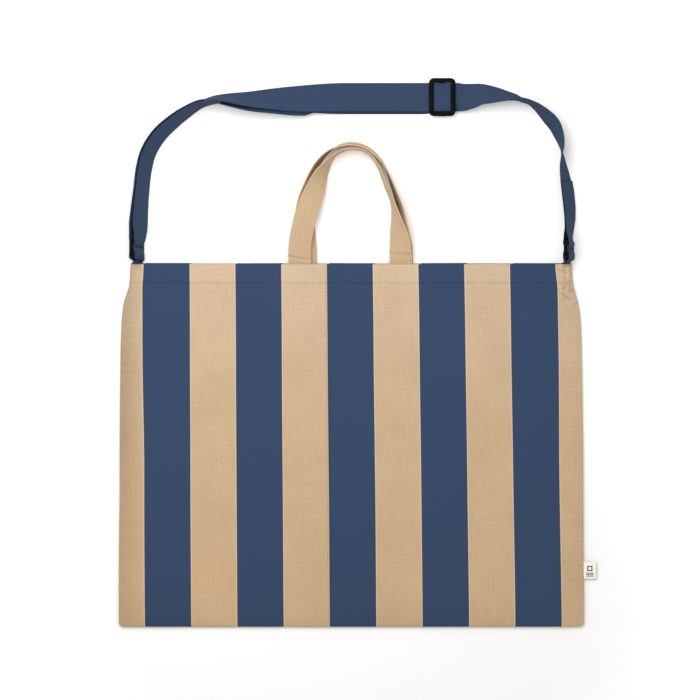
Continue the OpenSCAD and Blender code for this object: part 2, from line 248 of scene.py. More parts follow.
def sand_colour(tree, u, v, pitch):
    """Natural cotton with uneven threads, small flecks and darker husks."""
    where = tree.combine(u, v)
    grain = tree.ramp(tree.noise(where, 430.0, 3.0), 0.30, 0.70, 0.93, 1.06)
    tone = tree.times(thread_tone(tree, u, v, pitch, 0.20), grain)
    flecks = tree.math("MULTIPLY_ADD", tree.spots(where, 210.0, 0.16, 0.22), -0.13, 1.0)
    husks = tree.math("MULTIPLY_ADD", tree.spots(where, 95.0, 0.075, 0.30), -0.30, 1.0)
    return tree.scaled(SAND[:3], tree.times(tone, tree.times(flecks, husks)))


def painted_light_and_shade(tree, u, v, colour):
    """Painted light and shade: a painted haze of light makes the cloth paler towards the mouth, most of all on
    its hem. Painted shade darkens its left side and the creases of its right top corner, there in brown."""
    # painted haze of light: paler and greyer towards the mouth, most of all on the hem
    low = tree.mix(tree.ramp(v, -210 * MM, 10 * MM), (1.006, 0.975, 0.90, 1), (1.0, 0.986, 0.95, 1))
    upper = tree.mix(tree.ramp(v, 10 * MM, 200 * MM), low, (1.02, 1.045, 1.075, 1))
    hem = tree.mix(tree.ramp(v, 200 * MM, 232 * MM), upper, (1.06, 1.12, 1.19, 1))
    # painted shade along the left side of the cloth, deeper towards the top
    left_shade_tone = tree.ramp(v, -150 * MM, 100 * MM, 0.84, 0.73)
    painted_left_shade = tree.ramp(u, -309 * MM, -268 * MM, left_shade_tone, 1.0)
    # painted brown shade in the creases of the right top corner
    slanted = tree.combine(tree.math("MULTIPLY_ADD", v, 0.6, u), v)
    creases = tree.ramp(tree.noise(slanted, 130.0), 0.50, 0.62)
    corner = tree.times(tree.ramp(u, 272 * MM, 286 * MM), tree.ramp(v, 165 * MM, 212 * MM))
    painted_crease_shade = tree.mix(tree.times(creases, corner), WHITE, (0.84, 0.76, 0.66, 1))
    return tree.scaled(tree.product(tree.product(colour, hem), painted_crease_shade), painted_left_shade)


def canvas_material(name, printed=False):
    tree = Tree(name, 0.95, 0.10)
    u, v = tree.uv()
    weave = plain_weave(tree, u, v, CANVAS_PITCH)
    shade = tree.ramp(weave, 0.0, WEAVE_FULL, 0.86, 1.03)
    colour = tree.scaled(sand_colour(tree, u, v, CANVAS_PITCH), shade)
    if printed:
        colour = printed_colour(tree, u, v, painted_light_and_shade(tree, u, v, colour), shade)
    tree.bump(weave, 0.16 * MM, 0.7)
    return tree.colour(colour)


def printed_colour(tree, u, v, colour, shade):
    """Navy stripes over the cloth's own colour, a fine pale line along each edge, and painted stitch-line
    shade.
    """
    rag = tree.noise(tree.combine(u, v), 900.0, 1.0)
    ragged = tree.math("MULTIPLY_ADD", rag, 0.5 * MM, -0.25 * MM)
    cell = tree.math("DIVIDE", u, STRIPE_PITCH)
    near = tree.math("ROUND", cell)
    off = tree.math("ABSOLUTE", tree.times(tree.math("SUBTRACT", cell, near), STRIPE_PITCH))
    edge = tree.math("ADD", tree.math("SUBTRACT", off, STRIPE_W / 2), ragged)
    counted = tree.math("LESS_THAN", tree.math("ABSOLUTE", near), STRIPES / 2)
    inked = tree.times(tree.ramp(edge, 0.15 * MM, -0.15 * MM), counted)
    by_edge = tree.ramp(tree.math("ABSOLUTE", tree.math("SUBTRACT", edge, 0.7 * MM)), 0.9 * MM, 0.3 * MM)
    lined = tree.times(tree.times(by_edge, 0.35), counted)
    tone = thread_tone(tree, u, v, CANVAS_PITCH, 0.05)
    ink = tree.scaled(tree.scaled(NAVY[:3], tone), tree.ramp(shade, 0.86, 1.03, 0.93, 1.03))
    # painted shade in the groove of the hem's stitch line, in patches
    sewn = tree.ramp(tree.math("ABSOLUTE", tree.math("SUBTRACT", v, STITCH_Y)), 1.1 * MM, 0.3 * MM)
    patchy = tree.ramp(tree.noise(tree.combine(u, v), 45.0), 0.35, 0.62, 0.15, 1.0)
    painted_stitch_shade = tree.math("MULTIPLY_ADD", tree.times(sewn, patchy), -0.16, 1.0)
    return tree.scaled(tree.mix(inked, tree.mix(lined, colour, PALE), ink), painted_stitch_shade)


def webbing_material():
    """Navy webbing: fine ribs across, a slight twill slant and a denser edge."""
    pitch = 0.95 * MM
    tree = Tree("strap_webbing", 0.88, 0.10)
    u, v = tree.uv()
    slant = tree.math("MULTIPLY_ADD", u, 0.55, v)
    rib = tree.math("SINE", tree.times(slant, 2 * pi / pitch))
    end = tree.math("SINE", tree.times(u, 2 * pi / (pitch * 1.3)))
    height = tree.math("ADD", tree.times(rib, 0.35), tree.times(end, 0.15))
    tone = thread_tone(tree, u, v, pitch, 0.07)
    side = tree.math("ABSOLUTE", u)
    rim = tree.ramp(side, STRAP_W / 2 - 1.6 * MM, STRAP_W / 2 - 0.5 * MM, 1.0, 0.86)
    # painted shade in the valleys between the ribs
    valley = tree.ramp(height, -0.5, 0.5, 0.90, 1.05)
    tree.bump(height, 0.12 * MM, 0.7)
    return tree.colour(tree.scaled(STRAP_NAVY[:3], tree.times(tree.times(tone, rim), valley)))


def handle_material():
    """Cotton tape of a plain weave, paler along its turned edges."""
    pitch = 0.66 * MM
    tree = Tree("handle_tape", 0.95, 0.10)
    tree.shader.inputs["Subsurface Weight"].default_value = 0.35
    tree.shader.inputs["Subsurface Radius"].default_value = (1.0, 0.55, 0.28)
    tree.shader.inputs["Subsurface Scale"].default_value = 1.6 * MM
    u, v = tree.uv()
    weave = plain_weave(tree, u, v, pitch)
    shade = tree.ramp(weave, 0.0, WEAVE_FULL, 0.88, 1.03)
    side = tree.math("ABSOLUTE", u)
    rim = tree.ramp(side, HANDLE_W / 2 - 2.0 * MM, HANDLE_W / 2 - 0.6 * MM, 1.0, 1.09)
    tree.bump(weave, 0.15 * MM, 0.7)
    return tree.colour(tree.scaled(sand_colour(tree, u, v, pitch), tree.times(shade, rim)))


def thread_material(name, colour):
    tree = Tree(name, 0.85, 0.15)
    twist = tree.noise(tree.place(), 2600.0, 1.0)
    tree.bump(twist, 0.06 * MM)
    return tree.colour(tree.scaled(colour, tree.ramp(twist, 0.3, 0.7, 0.82, 1.1)))


def plastic_material():
    """Black moulded plastic: glossy, with faint flow marks and fine scuffs."""
    tree = Tree("black_plastic", 0.45, 0.03)
    where = tree.place()
    flow = tree.noise(where, 160.0, 3.0)
    scuff = tree.noise(where, 1400.0)
    rough = tree.math("ADD", tree.ramp(flow, 0.3, 0.7, 0.32, 0.50), tree.ramp(scuff, 0.55, 0.75, 0.0, 0.16))
    tree.put(tree.shader.inputs["Roughness"], rough)
    tree.bump(tree.math("ADD", flow, tree.times(scuff, 0.25)), 0.10 * MM, 0.5)
    return tree.colour(tree.mix(tree.ramp(scuff, 0.5, 0.8), BLACK, SCUFFED_BLACK))


def label_material():
    """Cream woven tape with a plain motif of a square outline and three bars, in dark brown thread."""
    tree = Tree("label_tape", 0.85, 0.2)
    u, v = tree.uv()
    weave = plain_weave(tree, u, v, 0.35 * MM)
    # painted shade between the threads of the weave
    cloth = tree.scaled(CREAM, tree.ramp(weave, 0.0, 0.8, 0.88, 1.03))

    def block(x0, x1, y0, y1):
        across = tree.times(tree.math("GREATER_THAN", u, x0 * MM), tree.math("LESS_THAN", u, x1 * MM))
        upwards = tree.times(tree.math("GREATER_THAN", v, y0 * MM), tree.math("LESS_THAN", v, y1 * MM))
        return tree.times(across, upwards)

    share = tree.math("SUBTRACT", block(4.4, 11.6, 10.4, 17.6), block(6.1, 9.9, 12.1, 15.9))
    for y0 in (7.2, 5.2, 3.2):
        share = tree.math("ADD", share, block(3.0, 13.0, y0, y0 + 1.2))
    tree.bump(weave, 0.08 * MM, 0.6)
    return tree.colour(tree.mix(tree.times(share, 0.88), cloth, BROWN))


def floor_material():
    """Nearly white, a little darker under the bag."""
    tree = Tree("floor", 0.9, 0.0)
    tone = tree.ramp(tree.distance(tree.place(), (0.0, -0.14, 0.0)), 0.30, 0.50, 0.87, 1.0)
    return tree.colour(tree.scaled((0.93, 0.922, 0.91), tone))


# ---- mesh building


def make_object(name, points, faces, materials, uvs=None, face_slots=None):
    mesh = bpy.data.meshes.new(name)
    mesh.from_pydata([tuple(p) for p in points], [], faces)
    for material in materials:
        mesh.materials.append(material)
    if face_slots:
        mesh.polygons.foreach_set("material_index", face_slots)
    mesh.polygons.foreach_set("use_smooth", [True] * len(mesh.polygons))
    if uvs:
        layer = mesh.uv_layers.new(name="cloth")
        for loop in mesh.loops:
            layer.data[loop.index].uv = uvs[loop.vertex_index]
    mesh.update()
    obj = bpy.data.objects.new(name, mesh)
    bpy.context.scene.collection.objects.link(obj)
    return obj


def dress(piece, slot, *nodes):
    """Hides the CAD nodes that the piece stands for. Its slot is not used."""
    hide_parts(*nodes)


def fasten(piece, body, slot, *nodes):
    """Dresses a piece that moves with one body."""
    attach(piece, body)
    dress(piece, slot, *nodes)


def slab(name, grid, uv_grid, thickness, materials):
    """A closed sheet on a grid of middle points. It faces the way of its columns crossed with its rows.
    A second material goes on its back."""
    rows, columns = len(grid), len(grid[0])
    points, uvs, normals = [], [], []
    for i in range(rows):
        for j in range(columns):
            down = grid[min(i + 1, rows - 1)][j] - grid[max(i - 1, 0)][j]
            along = grid[i][min(j + 1, columns - 1)] - grid[i][max(j - 1, 0)]
            normals.append(down.cross(along).normalized())
    for sign in (1, -1):
        for i in range(rows):
            for j in range(columns):
                points.append(grid[i][j] + sign * thickness / 2 * normals[i * columns + j])
                uvs.append(uv_grid[i][j])
    back = rows * columns
    faces, slots = [], []
    for i in range(rows - 1):
        for j in range(columns - 1):
            a, b = i * columns + j, (i + 1) * columns + j
            faces.append((a, b, b + 1, a + 1))
            faces.append((back + a, back + a + 1, back + b + 1, back + b))
            slots += [0, len(materials) - 1]
    rim = list(range(columns))
    rim += [i * columns + columns - 1 for i in range(1, rows)]
    rim += [(rows - 1) * columns + j for j in range(columns - 2, -1, -1)]
    rim += [i * columns for i in range(rows - 2, 0, -1)]
    for k, a in enumerate(rim):
        b = rim[(k + 1) % len(rim)]
        faces.append((a, b, back + b, back + a))
        slots.append(0)
    return make_object(name, points, faces, materials, uvs, slots)


def tube_loop(name, sections, materials, closed, uvs=None):
    """Skins a row of equal sections, into a ring if it is closed, otherwise with an end cap on each side."""
    count = len(sections[0])
    points = [p for section in sections for p in section]
    faces = []
    last = len(sections) if closed else len(sections) - 1
    for i in range(last):
        a, b = i * count, (i + 1) % len(sections) * count
        for k in range(count):
            n = (k + 1) % count
            faces.append((a + k, a + n, b + n, b + k))
    if not closed:
        faces.append(tuple(range(count - 1, -1, -1)))
        faces.append(tuple(last * count + k for k in range(count)))
    return make_object(name, points, faces, materials, uvs)


# ---- routes of the handles and the strap: the part's own points, in millimetres, and its smoothing


def curve(a, b, c, d, u):
    return tuple(
        0.5 * (2 * q + (r - p) * u + (2 * p - 5 * q + 4 * r - s) * u * u + (3 * q - p - 3 * r + s) * u ** 3)
        for p, q, r, s in zip(a, b, c, d))


def smooth(points, n):
    last = len(points) - 1
    out = []
    for i in range(last):
        ends = (points[max(i - 1, 0)], points[i], points[i + 1], points[min(i + 2, last)])
        out += [curve(*ends, k / n) for k in range(n)]
    return out + [points[last]]


def directions(points):
    """For each (x, y, z, roll) in millimetres: its place, the way across the tape and the way it faces."""
    places = [Vector(p[:3]) * MM for p in points]
    out = []
    for i, p in enumerate(points):
        along = (places[min(i + 1, len(points) - 1)] - places[max(i - 1, 0)]).normalized()
        outward = UP.cross(along).normalized()
        up = along.cross(outward)
        roll = radians(p[3])
        across = cos(roll) * outward + sin(roll) * up
        facing = cos(roll) * up - sin(roll) * outward
        out.append((places[i], across, facing))
    return out


# places across a tape, from edge to edge, and its share of the thickness there
TAPE_STEPS = (-1.0, -0.985, -0.94, -0.86, -0.6, -0.3, 0.0, 0.3, 0.6, 0.86, 0.94, 0.985, 1.0)
TAPE_DEPTH = (0.30, 0.72, 0.98, 1.0, 0.96, 0.95, 0.95, 0.95, 0.96, 1.0, 0.98, 0.72, 0.30)


def tape(name, stations, width, thickness, material, wave, seed, relief=None):
    """A flat woven tape through the stations, with rounded edges that wander a little. relief gives a
    lift for a place across (-1 to 1) and a middle point."""
    sections, uvs = [], []
    length = 0.0
    front = range(len(TAPE_STEPS))
    for i, (place, across, facing) in enumerate(stations):
        if i:
            length += (place - stations[i - 1][0]).length
        section = []
        for sign, order in ((1, front), (-1, reversed(front))):
            for k in order:
                step = TAPE_STEPS[k]
                lift = wave * noise.noise((step * 1.4, length * 26 + seed, seed)) * step ** 2
                if relief:
                    lift += relief(step, place)
                point = place + across * (step * width / 2)
                section.append(point + facing * (sign * TAPE_DEPTH[k] * thickness / 2 + lift))
                uvs.append((step * width / 2, length))
        sections.append(section)
    return tube_loop(name, sections, [material], False, uvs)


def lay_tape(stations):
    length = sum((b[0] - a[0]).length for a, b in zip(stations, stations[1:]))


STITCH_L = 2.9 * MM
STITCH_GAP = 0.9 * MM
STITCH_CORNERS = 6
# along a stitch: share of its length, size, and height in half thicknesses
STITCH_FORM = ((0.0, 0.35, -0.9), (0.15, 0.85, -0.15), (0.5, 1.0, 0.15), (0.85, 0.85, -0.15), (1.0, 0.35, -0.9))


def stitch(points, faces, start, end, up, thick):
    """One stitch: a short rounded thread that dips into the cloth at both ends."""
    along = end - start
    side = along.normalized().cross(up).normalized()
    base = len(points)
    for share, size, height in STITCH_FORM:
        middle = start + along * share + up * (height * thick / 2)
        for k in range(STITCH_CORNERS):
            angle = 2 * pi * k / STITCH_CORNERS
            points.append(middle + (side * cos(angle) + up * sin(angle) * 0.8) * (size * thick / 2))
    last = base + (len(STITCH_FORM) - 1) * STITCH_CORNERS
    for a in range(base, last, STITCH_CORNERS):
        for k in range(STITCH_CORNERS):
            n = (k + 1) % STITCH_CORNERS
            faces.append((a + k, a + n, a + STITCH_CORNERS + n, a + STITCH_CORNERS + k))
    faces.append(tuple(base + k for k in range(STITCH_CORNERS - 1, -1, -1)))
    faces.append(tuple(last + k for k in range(STITCH_CORNERS)))


def stitches(name, rows, surface, material, thick=0.5 * MM, uv_of=None):
    """Rows of stitches between pairs of points in plan, laid on a surface that gives a point and its normal."""
    points, faces = [], []
    pitch = STITCH_L + STITCH_GAP
    for start, end in rows:
        start, end = Vector(start), Vector(end)
        count = max(1, int((end - start).length / pitch))
        for k in range(count):
            a = start.lerp(end, (k + 0.12) / count)
            b = start.lerp(end, (k + 0.12 + STITCH_L / pitch) / count)
            (pa, na), (pb, nb) = surface(*a), surface(*b)
            stitch(points, faces, pa, pb, (na + nb).normalized(), thick)
    uvs = [uv_of(p) for p in points] if uv_of else None
    return make_object(name, points, faces, [material], uvs)


def box_rows(x, y, w, h):
    """The four sides and both diagonals of a box of stitches."""
    left, right, low, high = x - w / 2, x + w / 2, y - h / 2, y + h / 2
    a, b, c, d = (left, low), (right, low), (right, high), (left, high)
    return [(a, b), (b, c), (c, d), (d, a), (a, c), (b, d)]


# ---- the bag's cloth

SEAM_FRONT_Z = 4.0 * MM
SEAM_BACK_Z = 2.0 * MM
FRONT_Z = 10.2 * MM
BACK_Z = 0.55 * MM
FRONT_TOP = TOP - 1.6 * MM
HEM_FOLD = 1.1 * MM         # from the middle of the panel's cloth to the middle of its hem's

# half widths of the bag at some heights, in millimetres
SIDE_LEFT = [(-243, 310.4), (0, 309.2), (127, 308.2), (160, 307.0), (180, 305.4), (194, 302.8), (206, 298.9),
             (211, 296.8), (227, 295.6), (243, 294.6)]
SIDE_RIGHT = [(-243, 310.2), (0, 308.8), (127, 307.4), (160, 306.2), (180, 304.4), (194, 301.4), (206, 297.8),
              (216, 295.4), (227, 294.2), (243, 293.8)]


def ease(u):
    u = min(max(u, 0.0), 1.0)
    return u * u * (3 - 2 * u)


def climb(value, start, width):
    """A smooth step from 0 to 1 that begins at start. The value is in metres, the others in millimetres."""
    return ease((value / MM - start) / width)


def bell(value, middle, width):
    """1 at the middle, less on both sides of it. The value is in metres, the others in millimetres."""
    return exp(-(((value / MM - middle) / width) ** 2))


def along_points(points, y):
    """The value at y of a smooth line through (y, value) points."""
    last = len(points) - 1
    k = 0
    while k < last - 1 and y > points[k + 1][0]:
        k += 1
    a, b, c, d = points[max(k - 1, 0)], points[k], points[k + 1], points[min(k + 2, last)]
    u = (y - b[0]) / (c[0] - b[0])
    low, high = sorted((b[1], c[1]))
    return min(max(curve(a[1:], b[1:], c[1:], d[1:], min(max(u, 0.0), 1.0))[0], low), high)


def side_x(side, y):
    """The bag's edge on one side, drawn in by its strap at the top, with rounded bottom corners."""
    x = along_points(SIDE_LEFT if side < 0 else SIDE_RIGHT, y / MM) * MM
    drop = CORNER_R - (y - BOTTOM)
    if drop > 0:
        x -= CORNER_R - sqrt(max(CORNER_R ** 2 - drop ** 2, 0.0))
    return side * (x + 0.35 * MM * noise.noise((side * 3.1, y * 14.0, 0.4)))


def from_side(x, y):
    """How far a place is from the bag's nearer edge."""
    return max(abs(side_x(1 if x > 0 else -1, y)) - abs(x), 0.0)


def front_z(x, y):
    """Height of the middle of the front panel's cloth."""
    near_top = climb(y - TOP, -75, 55)
    inwards = from_side(x, y)
    upwards = max(y - BOTTOM, 0.0)
    reach = (17 - 13.5 * near_top) * MM
    rise = (1 - exp(-inwards / reach)) * (1 - exp(-upwards / (11 * MM)))
    z = SEAM_FRONT_Z + (FRONT_Z - SEAM_FRONT_Z) * rise
    soft = rise * climb(inwards, 0, 30) * climb(upwards, 0, 40)
    z += soft * 0.9 * MM * noise.noise((x * 6.0, y * 4.2, 1.7))
    z += soft * 0.25 * MM * noise.noise((x * 22.0, y * 9.0, 5.1))
    z += right_folds(x, y) if x > 0 else left_folds(x, y)
    low = climb(BOTTOM - y, -60, 50)
    z += 0.35 * MM * low * noise.noise((x * 30.0, y * 8.0, 9.0)) * climb(inwards, 0, 8)
    return z + hem_relief(x, y)


def near_corner(y):
    return climb(y - TOP, -62, 30)


def fine_creases(x, y):
    return noise.noise((x * 160.0, y * 70.0, 2.2)) + 0.6 * noise.noise((x * 60.0, y * 210.0, 7.7))


def right_folds(x, y):
    """Folds that the tab pulls into the right top corner: two ridges with a valley between them, fine
    creases, a slanting dip and ridge below, and sharp wrinkles at the side."""
    top = near_corner(y)
    z = 2.9 * MM * bell(x, 289.6, 3.0) * climb(y - TOP, -40, 24)
    z -= 1.2 * MM * bell(x, 284.6, 1.5) * top
    z += 1.5 * MM * bell(x, 280.6, 2.0) * top
    z += 0.8 * MM * fine_creases(x, y) * bell(x, 290.5, 5) * top
    slanting = (x - 262 * MM) * 0.5 + (TOP - y)
    z -= 1.0 * MM * bell(slanting, 62, 4) * bell(x, 283, 12)
    z += 0.8 * MM * bell(slanting, 74, 6) * bell(x, 288, 12)
    sharp = 1 - 2 * abs(noise.noise((x * 120 + y * 45, y * 80 - x * 30, 4.1)))
    return z + 1.0 * MM * max(sharp, 0.0) ** 3 * bell(x, 292, 8) * top


def left_folds(x, y):
    """Fainter folds in the left top corner, and a soft crease down the left side."""
    z = 0.30 * MM * fine_creases(x, y) * bell(x, -288, 7) * near_corner(y)
    z += 1.1 * MM * bell(x, -288, 6) * climb(y - TOP, -34, 30)
    slanting = (-x - 262 * MM) * 0.7 + (TOP - y)
    z -= 0.4 * MM * bell(slanting, 50, 5) * bell(x, -285, 14)
    side_crease = climb(y, -60, 60) * climb(-y, -130, 60)
    z -= 0.45 * MM * bell(x, -291 - 14 * (y - 0.03), 2.0) * side_crease
    return z + 0.35 * MM * bell(x, -286 - 14 * (y - 0.03), 2.6) * side_crease


def hem_relief(x, y):
    """The step at the hem's edge, the pull of its stitching and the bumps of the handle ends behind it."""
    z = -0.5 * MM * bell(y - STITCH_Y, 0, 1.1)
    z += 0.35 * MM * climb(y - STITCH_Y, 0, 2.5)
    z += 0.35 * MM * noise.noise((x * 55.0, y * 20.0, 3.3)) * bell(y - STITCH_Y, -2, 7)
    for base in FRONT_BASE:
        across = climb(HANDLE_W / 2 - abs(x - base), -1.5, 3)
        z += 0.7 * MM * across * climb(y - HEM_Y, -1, 2.5)
    return z


def back_z(x, y):
    """Height of the middle of the back panel's cloth."""
    near_edge = min(from_side(x, y), max(y - BOTTOM, 0.0))
    return BACK_Z + (SEAM_BACK_Z - BACK_Z) * exp(-near_edge / (3.0 * MM))


def front_top(x):
    return FRONT_TOP + 0.5 * MM * noise.noise((x * 11.0, 0.3, 0.9))


def back_top(x):
    return TOP + 0.4 * MM * noise.noise((x * 9.0, 4.3, 0.9))


def spread(count, power):
    return [(i / count) ** power for i in range(count + 1)]


def panel_rows(count):
    """The cloth's way up one panel, over the fold at the mouth and down the hem: heights, each with its
    share of the way round the fold, which is 0 on the panel and 1 on the hem."""
    low, fold = TOP - 75 * MM, TOP - HEM_FOLD / 2
    near, round_fold, down_hem = 26, 6, 10
    rows = [(BOTTOM + (low - BOTTOM) * s, 0.0) for s in spread(count, 1.35)]
    rows += [(low + (fold - low) * i / near, 0.0) for i in range(1, near + 1)]
    rows += [(fold, k / round_fold) for k in range(1, round_fold)]
    rows += [(fold - (HEM_H - 1 * MM) * i / down_hem, 1.0) for i in range(down_hem + 1)]
    return rows


def folded_panel(name, columns, rows, height, top_of, inner, materials, stripe_x):
    """One panel's cloth with its hem. Each column is a function that gives x for a height. inner is how far
    the hem lies above the panel, or below it if it is negative."""
    grid, uv_grid = [], []
    for x_at in columns:
        line, uv_line = [], []
        for y, turn in rows:
            x = x_at(y)
            lift = (top_of(x) - TOP) * climb(y - TOP, -20, 20)
            angle = pi * turn
            z = height(x, y) + inner * (1 - cos(angle)) / 2
            line.append(Vector((x, y + lift + HEM_FOLD / 2 * sin(angle), z)))
            uv_line.append((stripe_x(x, y), y if turn < 0.5 else 2 * TOP - y))
        grid.append(line)
        uv_grid.append(uv_line)
    return slab(name, grid, uv_grid, CLOTH, materials)


def front_centre(y):
    """Where the printed cloth's middle lies, as it leans a little."""
    return (0.25 - 9.7 * (y / MM + 6.5) / 1000) * MM


def front_spread(y):
    """How far the printed cloth is spread sideways. It narrows a little upwards."""
    return 1 - 0.0284 * (y + 6.5 * MM)


def front_stripe_x(x, y):
    """Where a point of the front lies across the printed cloth. The outer stripes lean out from the middle
    up, and the mouth's corners are drawn together again."""
    drawn = 2.6 * MM * climb(y - TOP, -38, 36)
    loose = 2.1 * MM * climb(y, -60, 200)
    right, left = climb(x, 225, 55), climb(-x, 225, 55)
    pulled = drawn * (right - 0.7 * climb(-x, 235, 50)) - loose * (right - left)
    slow = 0.5 * MM * noise.noise((x * 5.0, y * 7.0, 12.0))
    return (x + pulled + slow - front_centre(y)) / front_spread(y)


def front_uv(point):
    return front_stripe_x(point[0], point[1]), point[1]


def split_x(y):
    """The front panel is two pieces, which meet along the middle stripe's left edge."""
    return front_centre(y) - front_spread(y) * STRIPE_W / 2


def lift_with_front(piece, side):
    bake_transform(piece)


def front_panel(name, side, materials):
    def column(share):
        return lambda y: side_x(side, y) + (split_x(y) - side_x(side, y)) * share

    shares = spread(88, 1.45)
    if side > 0:
        shares.reverse()
    columns = [column(share) for share in shares]
    panel = folded_panel(
        name, columns, panel_rows(82), front_z, front_top, -HEM_FOLD, materials, front_stripe_x)
    lift_with_front(panel, side)
    strip = "front_side_left" if side < 0 else "front_side_right"
    dress(panel, "printed_canvas", "front_panel", "front_hem", strip)
    width = abs(side * HALF_W - split_x(0))


def back_panel(materials):
    """The back faces down, so its columns run the other way."""
    def column(share):
        return lambda y: side_x(-1, y) * (1 - share) + side_x(1, y) * share

    half = [s / 2 for s in spread(44, 1.7)]
    shares = half + [1 - s for s in reversed(half[:-1])]
    columns = [column(share) for share in reversed(shares)]
    panel = folded_panel(
        "back_panel_cloth", columns, panel_rows(60), back_z, back_top, HEM_FOLD, materials,
        lambda x, y: x - 1.0 * MM)
    fasten(panel, "bag", "canvas", "back_panel", "back_hem")


def seam_allowance(name, node, path, inwards, material):
    """The raw edges of both panels, sewn together inside the bag."""
    widths = [SEAM_W * k / 5 for k in range(6)]
    grid, uv_grid = [], []
    length = 0.0
    for i, place in enumerate(path):
        if i:
            length += (place - path[i - 1]).length
        grid.append([place + inwards * w for w in widths])
        uv_grid.append([(w, length) for w in widths])
    seam = slab(name, grid, uv_grid, 1.3 * MM, [material])
    fasten(seam, "bag", "canvas", node)


def make_seams(material):
    middle = (SEAM_FRONT_Z + SEAM_BACK_Z) / 2
    steps = 70
    low, high = BOTTOM + 6 * MM, TOP - 2 * MM
    heights = [low + (high - low) * i / steps for i in range(steps + 1)]
    for name, side in (("left", -1), ("right", 1)):
        path = [Vector((side_x(side, y) - side * 0.3 * MM, y, middle)) for y in heights]
        seam_allowance("seam_" + name, "side_seam_" + name, path, Vector((-side, 0, 0)), material)
    reach = HALF_W - CORNER_R - 4 * MM
    path = [Vector((-reach + 2 * reach * i / steps, BOTTOM + 0.3 * MM, middle)) for i in range(steps + 1)]
    seam_allowance("seam_bottom", "bottom_seam", path, TO_MOUTH, material)


# ---- stitching on the bag


def front_surface(x, y):
    e = 0.5 * MM
    here = front_z(x, y)
    normal = Vector((here - front_z(x + e, y), here - front_z(x, y + e), e)).normalized()
    return Vector((x, y, here)) + normal * (CLOTH / 2 + 0.05 * MM), normal


def back_hem_surface(x, y):
    return Vector((x, y, back_z(x, y) + HEM_FOLD + CLOTH / 2 + 0.05 * MM)), UP


def flat_surface(z):
    return lambda x, y: (Vector((x, y, z)), UP)


def make_front_stitching(material):
    for name, side in (("left", -1), ("right", 1)):
        outer = abs(side_x(side, STITCH_Y)) - 6 * MM
        rows = [((side * outer, y), (split_x(y), y)) for y in (STITCH_Y, STITCH_Y - 1.6 * MM)]
        sewn = stitches("front_hem_stitches_" + name, rows, front_surface, material, 0.42 * MM, front_uv)
        lift_with_front(sewn, side)
        dress(sewn, "thread", "front_hem_stitching")


def make_handle_end_stitching(front_thread, thread):
    y = FRONT_TOP - 3 * MM
    rows = [((x - 11.5 * MM, y), (x + 11.5 * MM, y)) for x in FRONT_BASE]
    sewn = stitches("front_handle_stitches", rows, front_surface, front_thread, 0.36 * MM, front_uv)
    fasten(sewn, "front", "thread", "front_handle_stitching")

    middle = (HEM_Y + TOP) / 2 + 1 * MM
    rows = []
    for x in BACK_BASE:
        rows += box_rows(x, middle, HANDLE_W - 7 * MM, HEM_H - 8 * MM)
    on_back_end = flat_surface((BACK_END_Z + 0.85) * MM)
    sewn = stitches("back_handle_stitches", rows, on_back_end, thread)
    fasten(sewn, "bag", "thread", "back_handle_stitching")


def make_back_hem_stitching(thread):
    """Two rows, with gaps for the handle ends."""
    reach, gap = 270 * MM, 16 * MM
    left, right = BACK_BASE
    ends = ((-reach, left - gap), (left + gap, right - gap), (right + gap, reach))
    rows = [((a, y), (b, y)) for y in (STITCH_Y, STITCH_Y - 1.2 * MM) for a, b in ends]
    sewn = stitches("back_hem_stitches", rows, back_hem_surface, thread, 0.42 * MM)
    fasten(sewn, "bag", "thread", "back_hem_stitching")


# ---- handles

FRONT_END_Z = 7.7
BACK_END_Z = 2.8
BASE_Y = TOP / MM + 3

# each point: x, y, z and roll
FRONT_HANDLE = [
    (FRONT_BASE[0] / MM, BASE_Y, FRONT_END_Z, 0), (-69, 262, 10, 0), (-66, 284, 15, 0),
    (-58.6, 312, 20, 5), (-49.6, 336, 21, 25), (-41, 358, 18.5, 50), (-34, 370.6, 16.6, 67),
    (-26.2, 382.1, 16.2, 82), (-15, 391, 16.2, 87), (-2, 394.4, 16.3, 89), (10, 394, 16.3, 90),
    (20, 389.6, 16.3, 90), (28, 382.8, 16.2, 89), (35, 373, 16.2, 87), (40.5, 361, 16, 85),
    (46, 345, 16, 84), (54.6, 324, 16, 81), (58.6, 308, 15.6, 71), (61.8, 291, 14.5, 52), (65, 269, 12, 24),
    (FRONT_BASE[1] / MM, BASE_Y, FRONT_END_Z, 0)]

BACK_HANDLE = [
    (BACK_BASE[0] / MM, BASE_Y, BACK_END_Z, 0), (-61, 262, 3.4, 4), (-62.6, 284, 6, 15),
    (-62.6, 307, 9, 32), (-61, 327, 11.6, 46), (-57.5, 344, 14.2, 62), (-51.5, 362, 15.8, 73),
    (-42.5, 378, 16.2, 80), (-30, 391.2, 16.3, 89), (-15.5, 399.2, 16.3, 98), (-1, 401.6, 16.3, 101),
    (14, 399, 16.3, 101), (28.3, 390.4, 16.3, 100), (42.2, 375.4, 16.3, 94), (51.3, 355, 16.4, 85),
    (58.5, 335.6, 16.2, 81), (64.2, 318, 15.8, 75), (66.4, 301, 14.6, 63), (67, 284, 11.6, 44),
    (67, 264, 5.6, 16), (BACK_BASE[1] / MM, BASE_Y, BACK_END_Z, 0)]


